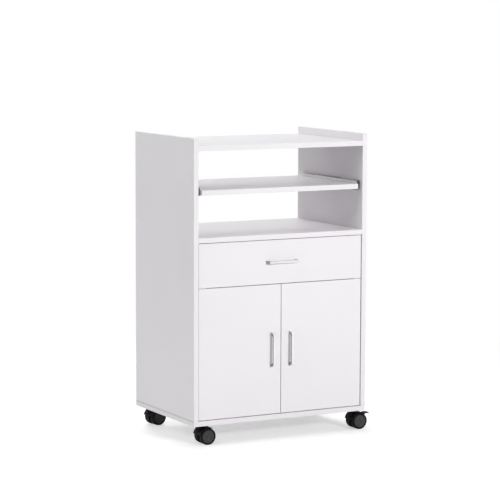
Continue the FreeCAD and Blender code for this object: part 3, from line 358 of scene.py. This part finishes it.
def dress_nodes():
    """Give each CAD node its finish."""
    slots = {part["node"]: part["material_slot"] for part in frame["record"]["subparts"]}
    wheels = finish_of_wheels()
    for name, node in NODES.items():
        if "_wheel_" in name:
            material = wheels[name.split("_wheel_")[1]]
        elif name.endswith("_runners"):
            material = RUNNER
        elif name.endswith("_handle"):
            material = LEVEL_HANDLE if name == "drawer_handle" else UPRIGHT_HANDLE
        else:
            material = BY_SLOT[slots[name]]
        node.data.materials.clear()
        node.data.materials.append(material)


dress_nodes()


# ---------------------------------------------------------------- small hardware

def piece(name, body, material, form):
    """A piece from a finished form, riding on a body."""
    mesh = bpy.data.meshes.new(name)
    form.to_mesh(mesh)
    form.free()
    mesh.materials.append(material)
    made = bpy.data.objects.new(name, mesh)
    bpy.context.scene.collection.objects.link(made)
    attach(made, body)
    return made


# Lines across a screw head, as shares of its radius. The cross takes the cells along its two middle strips.
HEAD_LINES = (-1, -0.78, -0.55, -0.3, -0.11, 0.11, 0.3, 0.55, 0.78, 1)
CROSS_HALF_WIDTH = 0.1
CROSS_REACH = 0.5
# Shares of a head's height: the flank under its dome, and how deep the cross is sunk.
HEAD_FLANK = 0.45
CROSS_DEPTH = 0.75


def in_cross(column, row):
    """Whether a cell between the lines of a screw head belongs to its cross."""
    across, up = (abs(HEAD_LINES[index] + HEAD_LINES[index + 1]) / 2 for index in (column, row))
    return min(across, up) < CROSS_HALF_WIDTH and max(across, up) < CROSS_REACH


def screw_head(form, where, out, radius, height):
    """A low domed head with a cross recess, standing on a face that looks along out."""
    stand = Matrix.Translation(where) @ Vector(out).to_track_quat("Z", "Y").to_matrix().to_4x4()
    last = len(HEAD_LINES) - 1
    made = {}

    def corner(column, row, drop):
        """The vertex where two lines cross, lowered by a share of the height."""
        if (column, row, drop) not in made:
            u, v = HEAD_LINES[column], HEAD_LINES[row]
            x, y = u * math.sqrt(1 - v * v / 2), v * math.sqrt(1 - u * u / 2)
            dome = (1 - HEAD_FLANK) * math.sqrt(max(0, 1 - x * x - y * y))
            spot = Vector((x * radius, y * radius, height * (HEAD_FLANK + dome - drop)))
            made[column, row, drop] = form.verts.new(stand @ spot)
        return made[column, row, drop]

    def wall(start, end, depth):
        """An upright face below the line between two corners."""
        form.faces.new([corner(*start, 0), corner(*start, depth), corner(*end, depth), corner(*end, 0)])

    for column in range(last):
        for row in range(last):
            cell = [(column, row), (column + 1, row), (column + 1, row + 1), (column, row + 1)]
            drop = CROSS_DEPTH if in_cross(column, row) else 0
            form.faces.new([corner(*spot, drop) for spot in cell])
            beside = [(column, row - 1), (column + 1, row), (column, row + 1), (column - 1, row)]
            for index, neighbour in enumerate(beside):
                if drop and not in_cross(*neighbour):
                    wall(cell[index], cell[(index + 1) % 4], CROSS_DEPTH)
    rim = [(index, 0) for index in range(last)] + [(last, index) for index in range(last)]
    rim += [(last - column, last - row) for column, row in rim]
    for index, start in enumerate(rim):
        wall(start, rim[(index + 1) % len(rim)], HEAD_FLANK)
    form.faces.new([corner(*spot, HEAD_FLANK) for spot in rim])


def screws(name, body, heads, radius=0.003, height=0.0014):
    """Several heads on one body, each given as its place and the way it looks."""
    form = bmesh.new()
    for where, out in heads:
        head = bmesh.new()
        screw_head(head, where, out, radius, height)
        loose = bpy.data.meshes.new("head")
        head.to_mesh(loose)
        head.free()
        form.from_mesh(loose)
        bpy.data.meshes.remove(loose)
    bmesh.ops.recalc_face_normals(form, faces=form.faces)
    return piece(name, body, SCREW, form)


def places(low, high, offsets):
    """Places between two ends. An offset counts from the low end, or from the high end if it's negative."""
    return [(high if offset < 0 else low) + offset for offset in offsets]


def on_both_sides(low, high, seat, look, spots):
    """Heads at the same spots on a box's left and right, seat deep, looking inwards (1) or outwards (-1)."""
    heads = [((low[0] + seat, y, z), (look, 0, 0)) for y, z in spots]
    return heads + [((high[0] - seat, y, z), (-look, 0, 0)) for y, z in spots]


# How deep in their box the screwed faces lie: a runner's web, and the sheet of a rail or bracket.
RUNNER_WEB = 0.0078
SHEET = 0.0012
# Where the screws stand, as offsets for places.
RUNNER_SCREWS = (0.04, 0.168, -0.03)
RAIL_SCREWS = (0.022, -0.096, -0.032)
BRACKET_SCREWS = (0.006, 0.0165)
STRIKE_SCREWS = (0.0022, -0.0022)
CATCH_SCREWS = (0.007, -0.007)
DRAWER_SIDE_SCREWS = (0.02, -0.014)
# How far in front of a bracket's or a drawer side's back end the screws stand.
BRACKET_SETBACK = 0.012
DRAWER_SIDE_SETBACK = 0.006


def slide_screws():
    """Heads in the runners' channels, seen when the shelf or drawer is out, and flat ones in the rails."""
    for name, body in (("shelf", "pull_out_shelf"), ("drawer", "drawer")):
        low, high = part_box(name + "_slide_runners")
        middle = (low[2] + high[2]) / 2
        spots = [(y, middle) for y in places(low[1], high[1], RUNNER_SCREWS)]
        heads = on_both_sides(low, high, RUNNER_WEB, -1, spots)
        screws(name + "_runner_screws", body, heads, height=0.0013)
        low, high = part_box(name + "_slide_rails")
        spots = [(y, middle) for y in places(low[1], high[1], RAIL_SCREWS)]
        heads = on_both_sides(low, high, SHEET, 1, spots)
        screws(name + "_rail_screws", "carcass", heads, height=0.0004)


def door_screws():
    """Screws in the pivot brackets, the strike plates and the catch."""
    low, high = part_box("pivot_brackets")
    spots = [(high[1] - BRACKET_SETBACK, z) for z in places(low[2], high[2], BRACKET_SCREWS)]
    screws("bracket_screws", "carcass", on_both_sides(low, high, SHEET, 1, spots), radius=0.0031)
    for body in ("door_left", "door_right"):
        low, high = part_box(body + "_strike_plate")
        middle = (low[0] + high[0]) / 2
        heads = [((middle, high[1], z), (0, 1, 0)) for z in places(low[2], high[2], STRIKE_SCREWS)]
        screws(body + "_strike_screws", body, heads, radius=0.0017, height=0.0003)
    low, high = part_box("door_catch")
    middle = (low[1] + high[1]) / 2
    heads = [((x, middle, low[2]), (0, 0, -1)) for x in places(low[0], high[0], CATCH_SCREWS)]
    screws("catch_screws", "carcass", heads, radius=0.0027, height=0.0012)


def drawer_screws():
    """Screws through the drawer's sides into its back."""
    low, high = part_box("drawer_side_left")[0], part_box("drawer_side_right")[1]
    spots = [(high[1] - DRAWER_SIDE_SETBACK, z) for z in places(low[2], high[2], DRAWER_SIDE_SCREWS)]
    heads = on_both_sides(low, high, 0, -1, spots)
    screws("drawer_side_screws", "drawer", heads, radius=0.0035, height=0.0008)


# How far each grip lies from the pedal's tip, how large it is, and how deep its foot is sunk.
GRIP_PLACES = (0.0022, 0.0048, 0.0074)
GRIP_HALF_WIDTH = 0.0007
GRIP_HALF_LENGTH = 0.0085
GRIP_HEIGHT = 0.0005
GRIP_SINK = 0.0001
# A grip's cross-sections: where each lies, as a share of half the length, and its share of the full size.
GRIP_SECTIONS = ((-1, 0.35), (-0.94, 1), (0.94, 1), (1, 0.35))
GRIP_STEPS = 8


def grip(form, tip, middle, top):
    """One rounded bar across a pedal, with tapered ends and a flat foot."""
    rings = []
    for along, share in GRIP_SECTIONS:
        ring = []
        for step in range(GRIP_STEPS + 1):
            angle = math.pi * step / GRIP_STEPS
            x = tip + GRIP_HALF_WIDTH * share * math.cos(angle)
            z = top - GRIP_SINK + GRIP_HEIGHT * share * math.sin(angle)
            ring.append(form.verts.new((x, middle + along * GRIP_HALF_LENGTH, z)))
        rings.append(ring)
    for first, second in zip(rings, rings[1:]):
        for index in range(len(first)):
            after = (index + 1) % len(first)
            form.faces.new([first[index], first[after], second[after], second[index]])
    form.faces.new(rings[0])
    form.faces.new(list(reversed(rings[-1])))


def pedal_grips():
    """Three rounded bars moulded across each brake pedal."""
    for spot in ("front_right", "rear_right"):
        low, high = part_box("brake_lever_" + spot)
        form = bmesh.new()
        for place in GRIP_PLACES:
            grip(form, high[0] - place, (low[1] + high[1]) / 2, high[2])
        bmesh.ops.recalc_face_normals(form, faces=form.faces)
        piece("pedal_grips_" + spot, "brake_" + spot, LEVER, form)


slide_screws()
door_screws()
drawer_screws()
pedal_grips()


# ---------------------------------------------------------------- the studio

FLOOR_GREY = (0.62, 0.62, 0.62)
FLOOR_LIFT = 0.47
FLOOR_HALF_SIDE = 12
# Distances from the stand's middle over which the floor turns plain white.
FLOOR_FADE = (0.75, 2.0)
SKY_LIGHT = 0.22
WHITE = (1, 1, 1)


def studio_floor():
    """A pale floor that shows white to the camera and keeps the stand's shadow."""
    mesh = bpy.data.meshes.new("studio_floor")
    form = bmesh.new()
    bmesh.ops.create_grid(form, x_segments=8, y_segments=8, size=FLOOR_HALF_SIDE)
    form.to_mesh(mesh)
    form.free()
    floor = bpy.data.objects.new("studio_floor", mesh)
    bpy.context.scene.collection.objects.link(floor)
    finish = Finish("pale_floor", roughness=0.7, base_color=(*FLOOR_GREY, 1))
    lift = finish.add("ShaderNodeEmission", inputs={"Color": WHITE, "Strength": FLOOR_LIFT})
    near = finish.add("ShaderNodeAddShader", inputs={0: finish.surface, 1: lift})
    white = finish.add("ShaderNodeEmission", inputs={"Color": WHITE, "Strength": 1.0})
    distance = finish.vector("LENGTH", finish.place, output="Value")
    shown = finish.add("ShaderNodeMixShader", inputs={0: distance.between(*FLOOR_FADE), 1: near, 2: white})
    both = finish.add("ShaderNodeMixShader", inputs={0: finish.seen(), 1: finish.surface, 2: shown})
    finish.feed(finish.output.inputs["Surface"], both)
    mesh.materials.append(finish.material)


def sky():
    """Even light from all round, and plain white behind."""
    world = bpy.data.worlds.new("studio")
    bpy.context.scene.world = world
    tree = Nodes(world)
    light = tree.add("ShaderNodeBackground", inputs={"Color": WHITE, "Strength": SKY_LIGHT})
    white = tree.add("ShaderNodeBackground", inputs={"Color": WHITE, "Strength": 1.0})
    mixed = tree.add("ShaderNodeMixShader", inputs={0: tree.seen(), 1: light, 2: white})
    tree.add("ShaderNodeOutputWorld", inputs={"Surface": mixed})


def lamp(name, where, aim, size, power, glare=True):
    """A soft lamp that points from one place to another, in watts. Without glare, no gloss mirrors it."""
    data = bpy.data.lights.new(name, "AREA")
    data.shape = "RECTANGLE"
    data.size, data.size_y = size
    data.energy = power
    light = bpy.data.objects.new(name, data)
    bpy.context.scene.collection.objects.link(light)
    light.visible_glossy = glare
    light.location = where
    light.rotation_euler = (Vector(aim) - Vector(where)).to_track_quat("-Z", "Y").to_euler()


LENS_MM = 157.43
CAMERA_YAW, CAMERA_PITCH, CAMERA_ROLL = (math.radians(angle) for angle in (28.262, 6.585, 0.184))
FROM_CORNER = Vector((-2.8694, -5.6843, 1.2634))


def camera():
    """A long lens, a little above the stand and to its left, placed from its lower front left corner."""
    data = bpy.data.cameras.new("camera")
    data.sensor_width = 36
    data.lens = LENS_MM
    seen = bpy.data.objects.new("camera", data)
    bpy.context.scene.collection.objects.link(seen)
    turn = Matrix.Rotation(-CAMERA_YAW, 4, "Z") @ Matrix.Rotation(math.pi / 2 - CAMERA_PITCH, 4, "X")
    turn = turn @ Matrix.Rotation(CAMERA_ROLL, 4, "Z")
    corner = Vector(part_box("bottom_board")[0])
    seen.matrix_world = Matrix.Translation(corner + FROM_CORNER) @ turn
    bpy.context.scene.camera = seen


studio_floor()
sky()
lamp("front_light", where=(0.45, -3.3, 1.3), aim=(0, -0.2, 0.5), size=(0.36, 0.36), power=66, glare=False)
lamp("left_light", where=(-3.2, -0.35, 2.6), aim=(-0.3, 0, 0.75), size=(2.0, 1.6), power=55)
lamp("top_light", where=(0.2, -0.4, 3.4), aim=(0, 0, 0.6), size=(2.4, 2.0), power=17)
lamp("back_light", where=(0.35, 2.4, 1.5), aim=(0, 0, 0.75), size=(1.4, 1.0), power=58, glare=False)
camera()
bpy.context.scene.view_settings.view_transform = "Standard"
